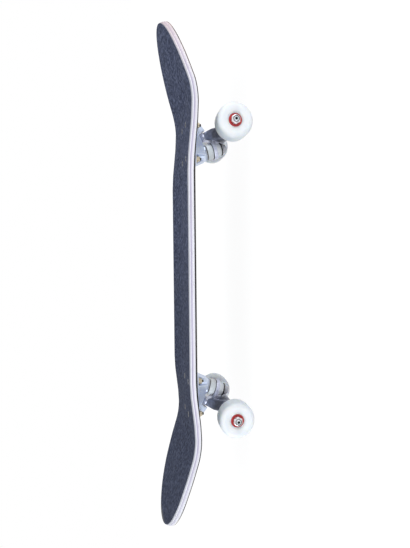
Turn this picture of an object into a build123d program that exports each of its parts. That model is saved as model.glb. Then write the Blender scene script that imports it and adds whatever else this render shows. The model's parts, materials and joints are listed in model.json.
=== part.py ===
from build123d import *
import os
from math import cos, degrees, pi, radians, sin, tan

# Street skateboard: seven-ply kicked deck, grip tape, two trucks and four wheels on ball bearings.
#
# World frame: +X towards the nose, +Y to the rider's left, +Z up, origin on the ground below the
# deck's centre. Each truck is drawn once in its own frame, with its origin where the middle of the
# bolt pattern meets the deck's underside, +X outboard (towards the tip of its own end) and +Z up,
# then placed twice.

os.makedirs("parts", exist_ok=True)

# ---------------------------------------------------------------- driving dimensions, mm
# deck
deck_width = 203.2
nose_length = 177.8  # outer bolts to tip, along the ground
tail_length = 161.9
wheel_base = 361.95  # inner bolts to inner bolts
bolt_spacing_x = 53.98
bolt_spacing_y = 41.28
ply_count = 7
ply_thickness = 1.4
grip_thickness = 0.8
grip_margin = 0.3  # how far the tape is filed back from the rail
rail_relief = 0.5  # how far the outermost plies are rounded back
rail_relief_inner = 0.15  # the same for the plies next to them
nose_kick_angle = 17.1
tail_kick_angle = 18.4
nose_bend_radius = 133.0
tail_bend_radius = 134.0
kick_setback = 12.5  # outer bolts to the start of the bend
nose_taper = 150.0  # length over which the outline rounds in to the tip
tail_taper = 147.0
nose_roundness = 3.2  # exponent of the outline curve, larger is blunter
tail_roundness = 2.0
concave_depth = 8.8  # rail height over the flat middle
kick_concave_depth = 1.5
flat_width = 60.0  # flat strip that the baseplates sit on
concave_length = 310.0  # middle stretch with the full concave

# wheels and bearings (608 size)
wheel_diameter = 54.0
wheel_width = 32.0
tread_width = 18.0
wheel_lip_radius = 13.2
wheel_lip_inset = 1.6
wheel_shoulder_radius = 20.0
bearing_outer_radius = 11.0
bearing_bore_radius = 4.0
bearing_width = 7.0
bearing_sink = 0.9  # bearing face below the wheel's inner lip
inner_race_radius = 6.2
outer_race_wall = 1.8
seal_radius = 10.1
seal_thickness = 0.5
seal_recess = 0.3
bearing_gap = 10.0  # between the two bearings of a wheel
bearing_stop = 2.0  # ledge of the wheel's core that the bearings are pressed against
spacer_radius = 5.0

# axle and its hardware
hanger_width = 144.0
axle_radius = 3.97
axle_end = 0.35  # how far the axle stands out of its nuts
axle_chamfer = 0.6
speed_ring_thickness = 0.7
speed_ring_radius = 5.5
axle_nut_flats = 12.7
axle_nut_height = 7.0

# truck
truck_height = 53.5  # deck underside to axle
axle_setout = 16.3  # axle outboard of the bolt pattern's centre
kingpin_setin = 20.0  # kingpin axis inboard of it, at the deck underside
kingpin_lean = 16.0  # degrees, the foot of the kingpin leans towards the axle
kingpin_radius = 4.76
kingpin_head_flats = 14.3
kingpin_head_height = 5.5
kingpin_head_seat = 9.0  # along the kingpin from the deck
kingpin_end = 1.5  # how far the kingpin stands out of its nut
kingpin_chamfer = 0.8
kingpin_nut_height = 6.5
seat_distance = 21.8  # deck to the wedge's face, along the kingpin
seat_boss_height = 5.0
seat_boss_radius = 13.2
bushing_radius = 12.5
bushing_height = 9.5
bushing_chamfer = 1.0
bushing_lip = 2.4  # collar that centres a bushing in the hanger's ring
washer_radius = 12.2
washer_thickness = 1.5
top_bushing_height = 8.0
top_bushing_radius = 12.0
top_bushing_tip_radius = 9.5
top_washer_radius = 10.5
ring_thickness = 7.0
ring_radius = 14.5
ring_rounding = 1.5
ring_hole_radius = 7.5
pivot_setout = 21.5  # centre of the pivot's ball end
pivot_drop = 13.5
pivot_radius = 4.8
pivot_root_radius = 7.8
pivot_root_length = 17.0
pivot_cup_radius = 7.2
pivot_cup_floor = 1.2
pivot_cup_depth = 5.0
pivot_housing_radius = 10.2
pivot_housing_length = 15.0  # its far end is buried in the plate
plate_length = 77.0
plate_width = 57.0
plate_thickness = 6.0
plate_corner = 8.0
plate_rounding = 1.0
wedge_margin = 1.5  # plate left showing beside the wedge
wedge_top_margin = 6.0  # how far the wedge's face stands out beside the kingpin's seat
wedge_reach = 15.5  # wedge's face outboard of the kingpin
nut_pocket_radius = 7.6  # room for a socket round each mounting nut
beam_radius = 10.5
beam_end_radius = 8.2
beam_collar = 7.0  # straight collar at each end of the beam
beam_swell = 38.0  # half length of the thick middle of the beam
web_corner = 4.5
web_top_drop = 9.0  # the web starts this far below the pivot's centre
web_top_width = 12.0
web_top_thickness = 12.0
web_top_setin = 7.0  # middle of its top inboard of the pivot's centre
web_waist_drop = 19.5  # level below the pivot's centre where the yoke's ring branches off
web_waist_width = 36.0
web_waist_setout = 3.0  # outboard face, from the pivot's centre
web_foot_width = 64.0  # where the web has spread into the beam
web_foot_rise = 2.0  # over the axle
web_room = 1.6  # between the web and the roadside bushing
pivot_neck = 1.0  # straight length of the pivot outside its cup

# fasteners, 10-32 size
bolt_radius = 2.38
bolt_length = 25.4
bolt_head_radius = 4.5
bolt_head_height = 2.6
bolt_nut_flats = 9.5
bolt_nut_height = 6.2

# clearances
hole_clearance = 0.3  # a bolt in its hole
fit_clearance = 0.02  # pressed and threaded fits
running_clearance = 0.05  # pivot in its cup
lip_clearance = 0.3  # bushing collar in the hanger's ring

# how the surfaces are drawn
fade_steps = 4  # sections over which the concave fades towards a kick
outline_steps = 8  # points on each quarter of a tip's outline
overcut = 20.0  # how far a cutting shape runs past what it cuts
sheet_margin = 5.0  # how much wider a pressed sheet is than the deck

# ---------------------------------------------------------------- worked-out places
half_width = deck_width / 2
deck_thickness = ply_count * ply_thickness
wheel_radius = wheel_diameter / 2
deck_underside = wheel_radius + truck_height
deck_top = deck_thickness + grip_thickness  # over the underside
bolt_reach = wheel_base / 2 + bolt_spacing_x
deck_length = nose_length + tail_length + 2 * bolt_reach
pattern_shift = (tail_length - nose_length) / 2
pattern_reach = (wheel_base + bolt_spacing_x) / 2


def write(part, name):
    """Label a finished piece and save it as its own STEP file."""
    part.label = name
    export_step(part, f"parts/{name}.step")


# ---------------------------------------------------------------- deck
class Kick:
    """One end of the deck: the bend, the straight kick and the rounded outline."""

    def __init__(self, side, angle, radius, taper, roundness):
        self.side = side
        self.angle = radians(angle)
        self.radius = radius
        self.taper = taper
        self.roundness = roundness
        self.bend_start = bolt_reach + kick_setback + side * pattern_shift

    def across(self, distance):
        """Plane across the deck, at a distance from its centre, facing the tip."""
        origin = (self.side * distance, 0, deck_underside)
        return Plane(origin=origin, x_dir=(0, self.side, 0), z_dir=(self.side, 0, 0))

    def bend_axis(self):
        centre = (self.side * self.bend_start, 0, deck_underside + self.radius)
        return Axis(centre, (0, -self.side, 0))

    def heading(self):
        return Vector(self.side * cos(self.angle), 0, sin(self.angle))

    def tip_plane(self):
        """Plane through the tip, in the middle of the wood, with +X along the kick."""
        radius = self.radius - deck_thickness / 2
        rise_start = deck_underside + self.radius - radius * cos(self.angle)
        run = deck_length / 2 - self.bend_start - radius * sin(self.angle)
        origin = (self.side * deck_length / 2, 0, rise_start + run * tan(self.angle))
        normal = (-self.side * sin(self.angle), 0, cos(self.angle))
        return Plane(origin=origin, x_dir=self.heading(), z_dir=normal)


nose = Kick(1, nose_kick_angle, nose_bend_radius, nose_taper, nose_roundness)
tail = Kick(-1, tail_kick_angle, tail_bend_radius, tail_taper, tail_roundness)


def deck_section(plane, depth, low, high):
    """Flat strip with both rails curved up, between two heights over the underside."""
    flat = flat_width / 2
    reach = half_width + sheet_margin
    rise = depth * ((reach - flat) / (half_width - flat)) ** 2
    with BuildSketch(plane) as section:
        with BuildLine():
            Line((0, low), (flat, low))
            under = TangentArc((flat, low), (reach, low + rise), tangent=(1, 0))
            over = TangentArc((flat, high), (reach, high + rise), tangent=(1, 0))
            Line(under @ 1, over @ 1)
            Line((flat, high), (0, high))
            mirror(about=Plane.YZ)
        make_face()
    return section.sketch


def pressed_sheet(low, high):
    """Oversize sheet that follows the mould, between two heights over the underside."""
    with BuildPart() as sheet:
        middle_end = concave_length / 2
        middle = Plane(origin=(-middle_end, 0, deck_underside), x_dir=(0, 1, 0), z_dir=(1, 0, 0))
        extrude(deck_section(middle, concave_depth, low, high), amount=concave_length)
        for kick in (nose, tail):
            sections = []
            for step in range(fade_steps + 1):
                share = step / fade_steps
                ease = share * share * (3 - 2 * share)
                depth = concave_depth + (kick_concave_depth - concave_depth) * ease
                distance = middle_end + share * (kick.bend_start - middle_end)
                sections.append(deck_section(kick.across(distance), depth, low, high))
            loft(sections, ruled=True)
            revolve(sections[-1], axis=kick.bend_axis(), revolution_arc=degrees(kick.angle))
            kick_face = sections[-1].face().rotate(kick.bend_axis(), degrees(kick.angle))
            extrude(kick_face, amount=kick.taper + overcut, dir=kick.heading())
    return sheet.part


def outline_cutter(inset):
    """Everything inside the deck's outline, drawn back by an inset; each kick is cut square to itself."""
    nose_start = deck_length / 2 - nose.taper
    tail_start = deck_length / 2 - tail.taper
    with BuildPart() as cutter:
        with BuildSketch(Plane.XY.offset(deck_underside - overcut)):
            with Locations(((nose_start - tail_start) / 2, 0)):
                Rectangle(nose_start + tail_start, deck_width - 2 * inset)
        extrude(amount=concave_depth + deck_top + 2 * overcut)
        for kick in (nose, tail):
            with BuildSketch(kick.tip_plane()):
                with BuildLine():
                    half = half_width - inset
                    curve = []
                    for step in range(outline_steps + 1):
                        turn = pi / 2 * step / outline_steps
                        back = (kick.taper - inset) * (1 - cos(turn) ** (2 / kick.roundness))
                        curve.append((-inset - back, half * sin(turn)))
                    Spline(*curve, tangents=((0, 1), (-1, 0)))
                    side = Line(curve[-1], (-kick.taper - overcut, half))
                    Line(side @ 1, (-kick.taper - overcut, 0))
                    mirror(about=Plane.XZ)
                make_face()
            extrude(amount=deck_top + concave_depth + overcut, both=True)
    return cutter.part


with BuildPart() as bolt_bores:
    for centre in ((pattern_shift + pattern_reach, 0), (pattern_shift - pattern_reach, 0)):
        with BuildSketch(Plane.XY.offset(deck_underside - overcut)):
            with Locations(centre):
                with GridLocations(bolt_spacing_x, bolt_spacing_y, 2, 2):
                    Circle(bolt_radius + hole_clearance)
        extrude(amount=deck_top + 2 * overcut)
        with Locations(Plane.XY.offset(deck_underside + deck_top)):
            with Locations(centre):
                with GridLocations(bolt_spacing_x, bolt_spacing_y, 2, 2):
                    Cone(
                        bottom_radius=bolt_radius + hole_clearance,
                        top_radius=bolt_head_radius + hole_clearance,
                        height=bolt_head_height,
                        align=(Align.CENTER, Align.CENTER, Align.MAX),
                    )

for ply in range(ply_count):
    from_face = min(ply, ply_count - 1 - ply)
    inset = {0: rail_relief, 1: rail_relief_inner}.get(from_face, 0)
    with BuildPart() as veneer:
        add(pressed_sheet(ply * ply_thickness, (ply + 1) * ply_thickness))
        add(outline_cutter(inset), mode=Mode.INTERSECT)
        add(bolt_bores.part, mode=Mode.SUBTRACT)
    write(veneer.part, f"deck_ply_{ply + 1}")

with BuildPart() as grip_tape:
    add(pressed_sheet(deck_thickness, deck_top))
    add(outline_cutter(rail_relief + grip_margin), mode=Mode.INTERSECT)
    add(bolt_bores.part, mode=Mode.SUBTRACT)
write(grip_tape.part, "grip_tape")

# ---------------------------------------------------------------- truck frame
lean = radians(kingpin_lean)
kingpin_down = Vector(sin(lean), 0, -cos(lean))
kingpin_plane = Plane(origin=(-kingpin_setin, 0, 0), x_dir=(cos(lean), 0, sin(lean)), z_dir=kingpin_down)
washer_start = seat_distance + seat_boss_height
bushing_start = washer_start + washer_thickness
ring_start = bushing_start + bushing_height
top_bushing_start = ring_start + ring_thickness
top_washer_start = top_bushing_start + top_bushing_height
kingpin_nut_start = top_washer_start + washer_thickness
kingpin_length = kingpin_nut_start + kingpin_nut_height + kingpin_end  # from the deck underside
ring_centre = kingpin_plane.origin + kingpin_down * (ring_start + ring_thickness / 2)
pivot_centre = Vector(pivot_setout, 0, -pivot_drop)
steer_direction = (pivot_centre - ring_centre).normalized()
steer_side = Vector(0, 1, 0).cross(steer_direction)
pivot_plane = Plane(origin=pivot_centre, x_dir=steer_side, z_dir=steer_direction)
pivot_mouth = pivot_plane.offset(-pivot_cup_depth)
pivot_floor = pivot_radius + running_clearance + pivot_cup_floor  # beyond the ball's centre
axle_centre = Vector(axle_setout, 0, -truck_height)


def write_both_ends(part, name):
    """Save a truck piece at the nose end and, turned half round, at the tail end."""
    nose_place = Location((pattern_shift + pattern_reach, 0, deck_underside))
    tail_place = Location((pattern_shift - pattern_reach, 0, deck_underside), (0, 0, 180))
    write(part.moved(nose_place), f"front_{name}")
    write(part.moved(tail_place), f"rear_{name}")


# ---------------------------------------------------------------- baseplate and pivot cup
seat_plane = kingpin_plane.offset(seat_distance)
seat_inner = seat_plane.from_local_coords((-seat_boss_radius, 0, 0))
seat_outer = seat_plane.from_local_coords((wedge_reach, 0, 0))

with BuildPart() as wedge:
    with BuildSketch(Plane.XZ):
        with BuildLine():
            Polyline(
                (-plate_length / 2 + plate_rounding, 0),
                (seat_inner.X, seat_inner.Z),
                (seat_outer.X, seat_outer.Z),
                (pivot_setout, -plate_thickness),
                (pivot_setout, 0),
                close=True,
            )
        make_face()
    extrude(amount=plate_width / 2, both=True)
    with BuildSketch(Plane.YZ.offset(-plate_length)):
        with BuildLine():
            Polyline(
                (-plate_width / 2 + wedge_margin, 0),
                (plate_width / 2 - wedge_margin, 0),
                (seat_boss_radius + wedge_top_margin, seat_inner.Z),
                (-seat_boss_radius - wedge_top_margin, seat_inner.Z),
                close=True,
            )
        make_face()
    extrude(amount=2 * plate_length, mode=Mode.INTERSECT)

with BuildPart() as baseplate:
    with BuildSketch():
        RectangleRounded(plate_length, plate_width, plate_corner)
    extrude(amount=-plate_thickness)
    fillet(baseplate.faces().sort_by(Axis.Z)[0].edges(), plate_rounding)
    add(wedge.part)
    with BuildSketch(pivot_mouth):
        Circle(pivot_housing_radius)
    extrude(amount=pivot_housing_length)
    with BuildSketch(seat_plane):
        Circle(seat_boss_radius)
    extrude(amount=seat_boss_height)
    with BuildSketch():
        Rectangle(2 * plate_length, 2 * plate_width)
    extrude(amount=2 * overcut, mode=Mode.SUBTRACT)
    with BuildSketch(kingpin_plane.offset(-overcut)):
        Circle(kingpin_radius + fit_clearance)
    extrude(amount=overcut + washer_start, mode=Mode.SUBTRACT)
    with BuildSketch(kingpin_plane.offset(-overcut)):
        RegularPolygon(kingpin_head_flats / 2 + fit_clearance, 6, major_radius=False)
    extrude(amount=overcut + kingpin_head_seat, mode=Mode.SUBTRACT)
    with BuildSketch(pivot_mouth):
        Circle(pivot_cup_radius + fit_clearance)
    extrude(amount=pivot_cup_depth + pivot_floor, mode=Mode.SUBTRACT)
    with BuildSketch(Plane.XY.offset(-plate_thickness)):
        with GridLocations(bolt_spacing_x, bolt_spacing_y, 2, 2):
            Circle(nut_pocket_radius)
    extrude(amount=-seat_distance - seat_boss_height, mode=Mode.SUBTRACT)
    with BuildSketch():
        with GridLocations(bolt_spacing_x, bolt_spacing_y, 2, 2):
            Circle(bolt_radius + hole_clearance)
    extrude(amount=-plate_thickness, mode=Mode.SUBTRACT)
write_both_ends(baseplate.part, "baseplate")

with BuildPart() as pivot_cup:
    with BuildSketch(pivot_mouth):
        Circle(pivot_cup_radius)
    extrude(amount=pivot_cup_depth + pivot_floor)
    with BuildSketch(pivot_mouth):
        Circle(pivot_radius + running_clearance)
    extrude(amount=pivot_cup_depth, mode=Mode.SUBTRACT)
    with Locations(pivot_plane):
        Sphere(pivot_radius + running_clearance, mode=Mode.SUBTRACT)
write_both_ends(pivot_cup.part, "pivot_cup")

# ---------------------------------------------------------------- kingpin stack
with BuildPart() as kingpin:
    with BuildSketch(kingpin_plane.offset(kingpin_head_seat - kingpin_head_height)):
        RegularPolygon(kingpin_head_flats / 2, 6, major_radius=False)
    extrude(amount=kingpin_head_height)
    with BuildSketch(kingpin_plane.offset(kingpin_head_seat)):
        Circle(kingpin_radius)
    extrude(amount=kingpin_length - kingpin_head_seat)
    chamfer(kingpin.edges().group_by(Axis.Z)[0], kingpin_chamfer)
write_both_ends(kingpin.part, "kingpin")


def washer(start, radius):
    with BuildPart() as disc:
        with BuildSketch(kingpin_plane.offset(start)):
            Circle(radius)
            Circle(kingpin_radius + fit_clearance, mode=Mode.SUBTRACT)
        extrude(amount=washer_thickness)
    return disc.part


write_both_ends(washer(washer_start, washer_radius), "boardside_washer")
write_both_ends(washer(top_washer_start, top_washer_radius), "roadside_washer")

with BuildPart() as boardside_bushing:
    with BuildSketch(kingpin_plane.offset(bushing_start)):
        Circle(bushing_radius)
    extrude(amount=bushing_height)
    chamfer(boardside_bushing.edges(), bushing_chamfer)
    with BuildSketch(kingpin_plane.offset(ring_start)):
        Circle(ring_hole_radius - lip_clearance)
    extrude(amount=bushing_lip)
    with BuildSketch(kingpin_plane.offset(bushing_start)):
        Circle(kingpin_radius + fit_clearance)
    extrude(amount=bushing_height + bushing_lip, mode=Mode.SUBTRACT)
write_both_ends(boardside_bushing.part, "boardside_bushing")

with BuildPart() as roadside_bushing:
    with BuildSketch(kingpin_plane.offset(top_bushing_start)):
        Circle(top_bushing_radius)
    with BuildSketch(kingpin_plane.offset(top_washer_start)):
        Circle(top_bushing_tip_radius)
    loft()
    with BuildSketch(kingpin_plane.offset(top_bushing_start - bushing_lip)):
        Circle(ring_hole_radius - lip_clearance)
    extrude(amount=bushing_lip)
    with BuildSketch(kingpin_plane.offset(top_bushing_start - bushing_lip)):
        Circle(kingpin_radius + fit_clearance)
    extrude(amount=top_bushing_height + bushing_lip, mode=Mode.SUBTRACT)
write_both_ends(roadside_bushing.part, "roadside_bushing")

with BuildPart() as kingpin_nut:
    with BuildSketch(kingpin_plane.offset(kingpin_nut_start)):
        RegularPolygon(kingpin_head_flats / 2, 6, major_radius=False)
        Circle(kingpin_radius + fit_clearance, mode=Mode.SUBTRACT)
    extrude(amount=kingpin_nut_height)
write_both_ends(kingpin_nut.part, "kingpin_nut")

# ---------------------------------------------------------------- hanger
hanger_end = hanger_width / 2
beam_plane = Plane(origin=axle_centre, x_dir=(1, 0, 0), z_dir=(0, 1, 0))
ring_plane = kingpin_plane.offset(ring_start)
web_inboard = kingpin_plane.from_local_coords((top_bushing_radius, 0, top_bushing_start)).X + web_room
web_top = pivot_setout - web_top_setin
web_top_half = web_top_thickness / 2
web_shelf = pivot_setout + web_waist_setout

with BuildPart() as yoke_ring:
    with BuildSketch(ring_plane):
        Circle(ring_radius)
        with Locations((ring_radius, 0)):
            Rectangle(2 * ring_radius, 2 * ring_radius)
    extrude(amount=ring_thickness)
    fillet(yoke_ring.faces().filter_by(ring_plane).edges(), ring_rounding)

with BuildPart() as beam:
    with BuildSketch(Plane(origin=axle_centre, x_dir=(0, 1, 0), z_dir=(1, 0, 0))):
        with BuildLine():
            Polyline(
                (0, beam_radius),
                (beam_swell, beam_radius),
                (hanger_end - beam_collar, beam_end_radius),
                (hanger_end, beam_end_radius),
                (hanger_end, axle_radius + fit_clearance),
                (0, axle_radius + fit_clearance),
            )
            mirror(about=Plane.YZ)
        make_face()
    revolve(axis=Axis(axle_centre, (0, 1, 0)))

with BuildPart() as hanger:
    # the web narrows from the beam up to the pivot: height, inboard face, outboard face, width
    web_levels = (
        (-pivot_drop - web_top_drop, web_top - web_top_half, web_top + web_top_half, web_top_width),
        (-pivot_drop - web_waist_drop, web_inboard, web_shelf, web_waist_width),
        (-truck_height + web_foot_rise, web_inboard, axle_setout + beam_radius, web_foot_width),
    )
    for level, inboard, outboard, width in web_levels:
        with BuildSketch(Plane.XY.offset(level)):
            with Locations(((inboard + outboard) / 2, 0)):
                RectangleRounded(outboard - inboard, width, web_corner)
    loft(ruled=True)
    add(yoke_ring.part)
    with BuildSketch(ring_plane.offset(-ring_thickness)):
        Circle(ring_hole_radius)
    extrude(amount=3 * ring_thickness, mode=Mode.SUBTRACT)
    with BuildSketch(pivot_plane):
        Circle(pivot_radius)
    extrude(amount=-pivot_cup_depth - pivot_neck)
    with BuildSketch(pivot_mouth.offset(-pivot_neck)):
        Circle(pivot_radius)
    with BuildSketch(pivot_plane.offset(-pivot_root_length)):
        Circle(pivot_root_radius)
    loft()
    with Locations(pivot_plane):
        Sphere(pivot_radius)
    with BuildSketch(beam_plane.offset(-hanger_end)):
        Circle((axle_radius + beam_end_radius) / 2)
    extrude(amount=hanger_width, mode=Mode.SUBTRACT)
    add(beam.part)
write_both_ends(hanger.part, "hanger")

# ---------------------------------------------------------------- what is threaded on the axle
inner_bearing = hanger_end + speed_ring_thickness
spacer_start = inner_bearing + bearing_width
outer_bearing = spacer_start + bearing_gap
outer_ring = outer_bearing + bearing_width
axle_nut_start = outer_ring + speed_ring_thickness
axle_half_length = axle_nut_start + axle_nut_height + axle_end
wheel_centre = spacer_start + bearing_gap / 2
axle_bore = axle_radius + fit_clearance

with BuildPart() as axle:
    with BuildSketch(beam_plane.offset(-axle_half_length)):
        Circle(axle_radius)
    extrude(amount=2 * axle_half_length)
    chamfer(axle.edges().filter_by(GeomType.CIRCLE), axle_chamfer)
write_both_ends(axle.part, "axle")


def on_axle(starts, length, outer, bore, flats=None):
    """Rings, or hexagons with a hole, at the same places on both arms of the axle."""
    with BuildPart() as rings:
        for start in starts:
            for side in (-1, 1):
                with BuildSketch(beam_plane.offset(side * start)):
                    if flats:
                        RegularPolygon(flats / 2, 6, major_radius=False)
                    else:
                        Circle(outer)
                    Circle(bore, mode=Mode.SUBTRACT)
                extrude(amount=side * length)
    return rings.part


speed_rings = on_axle((hanger_end, outer_ring), speed_ring_thickness, speed_ring_radius, axle_bore)
write_both_ends(speed_rings, "speed_rings")
inner_races = on_axle((inner_bearing, outer_bearing), bearing_width, inner_race_radius, bearing_bore_radius)
write_both_ends(inner_races, "bearing_inner_races")
spacers = on_axle((spacer_start,), bearing_gap, spacer_radius, bearing_bore_radius)
write_both_ends(spacers, "bearing_spacers")
axle_nuts = on_axle((axle_nut_start,), axle_nut_height, None, axle_bore, flats=axle_nut_flats)
write_both_ends(axle_nuts, "axle_nuts")

# ---------------------------------------------------------------- mounting hardware
with BuildPart() as mounting_bolts:
    with BuildSketch(Plane.XY.offset(deck_top - bolt_length)):
        with GridLocations(bolt_spacing_x, bolt_spacing_y, 2, 2):
            Circle(bolt_radius)
    extrude(amount=bolt_length)
    with Locations(Plane.XY.offset(deck_top)):
        with GridLocations(bolt_spacing_x, bolt_spacing_y, 2, 2):
            Cone(
                bottom_radius=bolt_radius,
                top_radius=bolt_head_radius,
                height=bolt_head_height,
                align=(Align.CENTER, Align.CENTER, Align.MAX),
            )
write_both_ends(mounting_bolts.part, "mounting_bolts")

with BuildPart() as mounting_nuts:
    with BuildSketch(Plane.XY.offset(-plate_thickness)):
        with GridLocations(bolt_spacing_x, bolt_spacing_y, 2, 2):
            RegularPolygon(bolt_nut_flats / 2, 6, major_radius=False)
            Circle(bolt_radius + fit_clearance, mode=Mode.SUBTRACT)
    extrude(amount=-bolt_nut_height)
write_both_ends(mounting_nuts.part, "mounting_nuts")

# ---------------------------------------------------------------- wheels, about their own centre
bearing_inside = bearing_gap / 2
bearing_outside = bearing_inside + bearing_width
core_radius = bearing_outer_radius + fit_clearance
ledge_radius = bearing_outer_radius - bearing_stop

with BuildPart() as wheel:
    with BuildSketch():
        with BuildLine():
            face = wheel_width / 2
            tread = Line((wheel_radius, 0), (wheel_radius, tread_width / 2))
            edge = TangentArc(tread @ 1, (wheel_shoulder_radius, face), tangent=(0, 1))
            Polyline(
                edge @ 1,
                (wheel_lip_radius, face - wheel_lip_inset),
                (core_radius + bearing_sink, bearing_outside + bearing_sink),
                (core_radius, bearing_outside + bearing_sink),
                (core_radius, bearing_inside),
                (ledge_radius, bearing_inside),
                (ledge_radius, 0),
            )
            mirror(about=Plane.XZ)
        make_face()
    revolve(axis=Axis.Y)

with BuildPart() as outer_races:
    with BuildSketch():
        race_wall = bearing_outer_radius - outer_race_wall
        seal_seat = bearing_outside - seal_recess - seal_thickness
        with BuildLine():
            Polyline(
                (bearing_outer_radius, bearing_inside),
                (bearing_outer_radius, bearing_outside),
                (seal_radius + fit_clearance, bearing_outside),
                (seal_radius + fit_clearance, seal_seat),
                (race_wall, seal_seat),
                (race_wall, bearing_inside),
                close=True,
            )
        make_face()
        mirror(about=Plane.XZ)
    revolve(axis=Axis.Y)

with BuildPart() as seals:
    with BuildSketch():
        seal_bore = inner_race_radius + hole_clearance
        with Locations(((seal_radius + seal_bore) / 2, seal_seat + seal_thickness / 2)):
            Rectangle(seal_radius - seal_bore, seal_thickness)
        mirror(about=Plane.XZ)
    revolve(axis=Axis.Y)

for end, side_of_deck in (("front", 1), ("rear", -1)):
    axle_x = pattern_shift + side_of_deck * (pattern_reach + axle_setout)
    for hand, side in (("left", 1), ("right", -1)):
        place = Location((axle_x, side * wheel_centre, wheel_radius))
        write(wheel.part.moved(place), f"{end}_{hand}_wheel")
        write(outer_races.part.moved(place), f"{end}_{hand}_bearing_outer_races")
        write(seals.part.moved(place), f"{end}_{hand}_bearing_seals")
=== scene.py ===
"""Looks of the street skateboard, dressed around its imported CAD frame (+X nose, +Z up).

The frame and the objects are in metres. Turned and threaded forms are drawn in millimetres.
"""
import json
import math

import bmesh
import bpy
from mathutils import Matrix, Vector


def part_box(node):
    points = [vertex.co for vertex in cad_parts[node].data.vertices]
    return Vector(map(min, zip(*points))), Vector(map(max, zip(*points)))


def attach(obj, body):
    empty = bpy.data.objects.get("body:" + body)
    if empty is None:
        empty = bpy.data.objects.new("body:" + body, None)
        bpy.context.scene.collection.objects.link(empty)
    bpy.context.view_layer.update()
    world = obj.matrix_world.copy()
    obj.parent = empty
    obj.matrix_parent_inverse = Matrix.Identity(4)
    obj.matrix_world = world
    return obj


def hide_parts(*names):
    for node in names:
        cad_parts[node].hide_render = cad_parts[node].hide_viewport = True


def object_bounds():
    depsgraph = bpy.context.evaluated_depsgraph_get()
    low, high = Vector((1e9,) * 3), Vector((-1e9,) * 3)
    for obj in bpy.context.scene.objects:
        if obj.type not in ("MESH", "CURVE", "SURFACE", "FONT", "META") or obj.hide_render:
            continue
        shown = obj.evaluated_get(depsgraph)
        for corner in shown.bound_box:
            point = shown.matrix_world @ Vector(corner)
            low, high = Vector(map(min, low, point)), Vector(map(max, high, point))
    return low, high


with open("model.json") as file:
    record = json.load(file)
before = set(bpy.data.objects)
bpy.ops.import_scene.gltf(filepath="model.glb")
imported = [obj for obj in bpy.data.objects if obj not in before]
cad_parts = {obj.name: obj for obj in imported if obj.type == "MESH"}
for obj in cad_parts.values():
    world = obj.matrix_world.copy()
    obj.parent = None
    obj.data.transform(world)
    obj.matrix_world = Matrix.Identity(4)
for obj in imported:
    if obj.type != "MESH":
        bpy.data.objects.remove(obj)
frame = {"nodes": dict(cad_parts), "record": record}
cad_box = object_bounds()
bpy.context.scene.view_settings.view_transform = "Standard"

MM = 0.001
ENDS = ("front", "rear")
HANDS = ("left", "right")

# ---------------------------------------------------------------- camera
CAMERA_PLACE = Vector((-0.0305, 0.7894, 0.1960))
CAMERA_FORWARD = Vector((0.0354, -0.9844, -0.1725))
CAMERA_TOP = Vector((-0.9993, -0.0332, -0.0155))  # the tail is at the top of the picture
CAMERA_LENS = 31.4  # on the 36 mm side of the picture, which is its height


def add_camera():
    data = bpy.data.cameras.new("camera")
    data.lens = CAMERA_LENS
    data.sensor_width = 36
    camera = bpy.data.objects.new("camera", data)
    bpy.context.scene.collection.objects.link(camera)
    forward = CAMERA_FORWARD.normalized()
    right = forward.cross(CAMERA_TOP).normalized()
    top = right.cross(forward)
    turn = Matrix((right, top, -forward)).transposed()
    camera.matrix_world = Matrix.Translation(CAMERA_PLACE) @ turn.to_4x4()
    bpy.context.scene.camera = camera


# ---------------------------------------------------------------- light, floor and backdrop
SKY_LEVEL = 0.76
SKY_TINT = (0.90, 0.94, 1.0)
SHADOW_SHARE = 0.15  # how much of the real floor shows in its white
FLOOR_GLOW = 1.10  # brings the floor to white wherever no shadow falls


def seen_directly(tree):
    """1 for rays that show the background itself: camera, mirror and glass rays."""
    path = tree.nodes.new("ShaderNodeLightPath")
    total = path.outputs["Is Camera Ray"]
    for ray in ("Is Glossy Ray", "Is Transmission Ray"):
        either = tree.nodes.new("ShaderNodeMath")
        either.operation = "MAXIMUM"
        tree.links.new(total, either.inputs[0])
        tree.links.new(path.outputs[ray], either.inputs[1])
        total = either.outputs[0]
    return total


def add_world():
    """White where it is seen, and an even cool sky for the light."""
    world = bpy.data.worlds.new("studio")
    world.use_nodes = True
    tree = world.node_tree
    background = tree.nodes["Background"]
    colour = tree.nodes.new("ShaderNodeMix")
    colour.data_type = "RGBA"
    first, second = [s for s in colour.inputs if s.type == "RGBA"]
    first.default_value = (*[SKY_LEVEL * part for part in SKY_TINT], 1)
    second.default_value = (1, 1, 1, 1)
    tree.links.new(seen_directly(tree), colour.inputs["Factor"])
    tree.links.new([s for s in colour.outputs if s.type == "RGBA"][0], background.inputs["Color"])
    bpy.context.scene.world = world


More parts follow.
